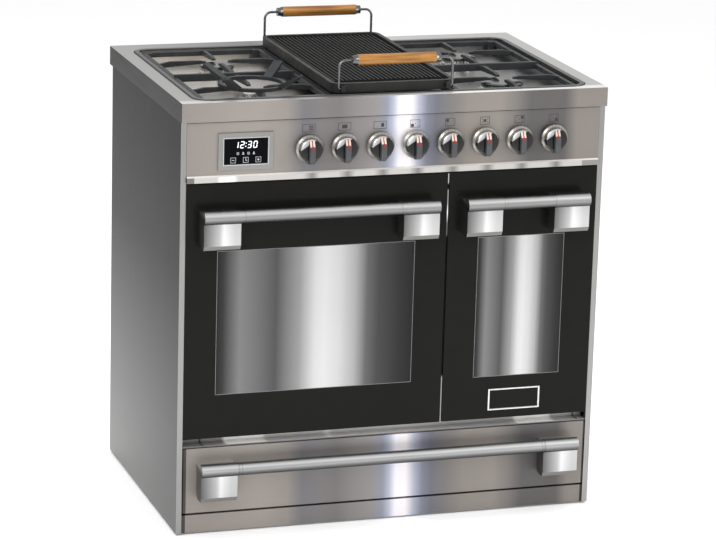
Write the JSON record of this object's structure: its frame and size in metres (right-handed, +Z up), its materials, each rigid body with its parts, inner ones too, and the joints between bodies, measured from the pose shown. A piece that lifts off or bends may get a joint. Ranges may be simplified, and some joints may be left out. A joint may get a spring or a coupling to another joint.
{
  "type": "freestanding cooker",
  "caption": "Freestanding steel range cooker with gas hob, cast griddle, two glass-fronted ovens with drop-down doors, control knobs and a storage drawer.",
  "frame": {"origin": "on the floor at the middle of the outline", "axes": "+Z up, front at -Y, +X to the right seen from the front"},
  "size_m": [0.9, 0.638, 0.9808],
  "materials": {
    "brushed_steel": "fine horizontal brushing",
    "side_steel": "satin grey",
    "polished_steel": "mirror polished and satin tube",
    "galvanised": "matt zinc",
    "black_glass": "black tempered glass",
    "clear_glass": "clear tempered glass",
    "cast_iron": "matt black enamelled casting",
    "enamel": "gloss dark vitreous enamel",
    "burner_alloy": "bare cast alloy",
    "brass": "machined",
    "chrome_wire": "bright wire",
    "knob_metal": "satin skirt with dark grey face",
    "timer_plastic": "gloss black",
    "rubber": "soft heat-proof rubber",
    "switch_plastic": "natural moulding",
    "motor_steel": "dark lacquer"
  },
  "bodies": {
    "cabinet": {"left_side_panel": "side_steel", "right_side_panel": "side_steel", "rear_panel": "galvanised", "base_pan": "galvanised", "levelling_feet": "rubber", "plinth": "brushed_steel", "front_frame": "brushed_steel", "oven_seals": "rubber", "control_panel": "brushed_steel", "timer_module": "timer_plastic", "gas_manifold": "brass", "oven_switches": "switch_plastic", "hob_surround": "brushed_steel", "hob_tray": "brushed_steel", "burner_cups": "burner_alloy", "burner_crowns": "burner_alloy", "burner_caps": "enamel", "drawer_rails": "galvanised", "left_oven_liner": "enamel", "right_oven_liner": "enamel", "fan_baffle": "enamel", "fan_motor": "motor_steel", "heating_elements": "motor_steel", "oven_racks": "chrome_wire", "terminal_box": "timer_plastic"},
    "left_door": {"left_door_glass": "black_glass", "left_door_frame": "galvanised", "left_door_hinges": "galvanised", "left_door_inner_glass": "clear_glass", "left_door_handle": "polished_steel"},
    "right_door": {"right_door_glass": "black_glass", "right_door_frame": "galvanised", "right_door_hinges": "galvanised", "right_door_inner_glass": "clear_glass", "right_door_handle": "polished_steel"},
    "drawer": {"drawer_front": "brushed_steel", "drawer_box": "galvanised", "drawer_handle": "polished_steel"},
    "left_pan_support": {"left_pan_support": "cast_iron"},
    "centre_pan_support": {"centre_pan_support": "cast_iron"},
    "right_pan_support": {"right_pan_support": "cast_iron"},
    "wok_ring": {"wok_ring": "cast_iron"},
    "griddle_plate": {"griddle_plate": "cast_iron"},
    "griddle_front_bail": {"griddle_front_bail": "chrome_wire"},
    "griddle_rear_bail": {"griddle_rear_bail": "chrome_wire"},
    "fan_impeller": {"fan_impeller": "galvanised"},
    "oven_function_knob": {"oven_function_knob": "knob_metal"},
    "main_oven_knob": {"main_oven_knob": "knob_metal"},
    "small_oven_knob": {"small_oven_knob": "knob_metal"},
    "burner_knob_1": {"burner_knob_1": "knob_metal"},
    "burner_knob_2": {"burner_knob_2": "knob_metal"},
    "burner_knob_3": {"burner_knob_3": "knob_metal"},
    "burner_knob_4": {"burner_knob_4": "knob_metal"},
    "burner_knob_5": {"burner_knob_5": "knob_metal"},
    "tap_plug_1": {"tap_plug_1": "brass"},
    "tap_plug_2": {"tap_plug_2": "brass"},
    "tap_plug_3": {"tap_plug_3": "brass"},
    "tap_plug_4": {"tap_plug_4": "brass"},
    "tap_plug_5": {"tap_plug_5": "brass"}
  },
  "joints": [
    {"name": "left_door_hinge", "type": "hinge", "parent": "cabinet", "child": "left_door", "pos_m": [-0.1625, -0.261, 0.214], "axis": [1, 0, 0], "range_deg": [0, 90]},
    {"name": "right_door_hinge", "type": "hinge", "parent": "cabinet", "child": "right_door", "pos_m": [0.2765, -0.261, 0.214], "axis": [1, 0, 0], "range_deg": [0, 90]},
    {"name": "drawer_slide", "type": "slide", "parent": "cabinet", "child": "drawer", "axis": [0, -1, 0], "range_m": [0, 0.32]},
    {"name": "oven_function_knob_turn", "type": "hinge", "parent": "cabinet", "child": "oven_function_knob", "pos_m": [-0.186, -0.273, 0.798], "axis": [0, 1, 0], "continuous": true},
    {"name": "main_oven_knob_turn", "type": "hinge", "parent": "cabinet", "child": "main_oven_knob", "pos_m": [-0.1114, -0.273, 0.798], "axis": [0, 1, 0], "range_deg": [0, 300]},
    {"name": "small_oven_knob_turn", "type": "hinge", "parent": "cabinet", "child": "small_oven_knob", "pos_m": [-0.0368, -0.273, 0.798], "axis": [0, 1, 0], "range_deg": [0, 300]},
    {"name": "burner_tap_1_turn", "type": "hinge", "parent": "cabinet", "child": "tap_plug_1", "pos_m": [0.0378, -0.273, 0.798], "axis": [0, -1, 0], "range_deg": [0, 240]},
    {"name": "burner_knob_1_push", "type": "slide", "parent": "tap_plug_1", "child": "burner_knob_1", "axis": [0, 1, 0], "range_m": [0, 0.004], "stiffness_N_per_m": 500},
    {"name": "burner_tap_2_turn", "type": "hinge", "parent": "cabinet", "child": "tap_plug_2", "pos_m": [0.1124, -0.273, 0.798], "axis": [0, -1, 0], "range_deg": [0, 240]},
    {"name": "burner_knob_2_push", "type": "slide", "parent": "tap_plug_2", "child": "burner_knob_2", "axis": [0, 1, 0], "range_m": [0, 0.004], "stiffness_N_per_m": 500},
    {"name": "burner_tap_3_turn", "type": "hinge", "parent": "cabinet", "child": "tap_plug_3", "pos_m": [0.187, -0.273, 0.798], "axis": [0, -1, 0], "range_deg": [0, 240]},
    {"name": "burner_knob_3_push", "type": "slide", "parent": "tap_plug_3", "child": "burner_knob_3", "axis": [0, 1, 0], "range_m": [0, 0.004], "stiffness_N_per_m": 500},
    {"name": "burner_tap_4_turn", "type": "hinge", "parent": "cabinet", "child": "tap_plug_4", "pos_m": [0.2616, -0.273, 0.798], "axis": [0, -1, 0], "range_deg": [0, 240]},
    {"name": "burner_knob_4_push", "type": "slide", "parent": "tap_plug_4", "child": "burner_knob_4", "axis": [0, 1, 0], "range_m": [0, 0.004], "stiffness_N_per_m": 500},
    {"name": "burner_tap_5_turn", "type": "hinge", "parent": "cabinet", "child": "tap_plug_5", "pos_m": [0.3362, -0.273, 0.798], "axis": [0, -1, 0], "range_deg": [0, 240]},
    {"name": "burner_knob_5_push", "type": "slide", "parent": "tap_plug_5", "child": "burner_knob_5", "axis": [0, 1, 0], "range_m": [0, 0.004], "stiffness_N_per_m": 500},
    {"name": "fan_spin", "type": "hinge", "parent": "cabinet", "child": "fan_impeller", "pos_m": [-0.1625, 0.17, 0.451], "axis": [0, 1, 0], "continuous": true},
    {"name": "left_support_lift", "type": "slide", "parent": "cabinet", "child": "left_pan_support", "axis": [0, 0, 1], "range_m": [0, 0.12]},
    {"name": "centre_support_lift", "type": "slide", "parent": "cabinet", "child": "centre_pan_support", "axis": [0, 0, 1], "range_m": [0, 0.12]},
    {"name": "right_support_lift", "type": "slide", "parent": "cabinet", "child": "right_pan_support", "axis": [0, 0, 1], "range_m": [0, 0.12]},
    {"name": "wok_ring_lift", "type": "slide", "parent": "left_pan_support", "child": "wok_ring", "axis": [0, 0, 1], "range_m": [0, 0.08]},
    {"name": "griddle_lift", "type": "slide", "parent": "centre_pan_support", "child": "griddle_plate", "axis": [0, 0, 1], "range_m": [0, 0.08]},
    {"name": "griddle_front_bail_hinge", "type": "hinge", "parent": "griddle_plate", "child": "griddle_front_bail", "pos_m": [0, -0.2545, 0.9118], "axis": [1, 0, 0], "range_deg": [-12, 70]},
    {"name": "griddle_rear_bail_hinge", "type": "hinge", "parent": "griddle_plate", "child": "griddle_rear_bail", "pos_m": [0, 0.2765, 0.9118], "axis": [-1, 0, 0], "range_deg": [-12, 70]}
  ]
}
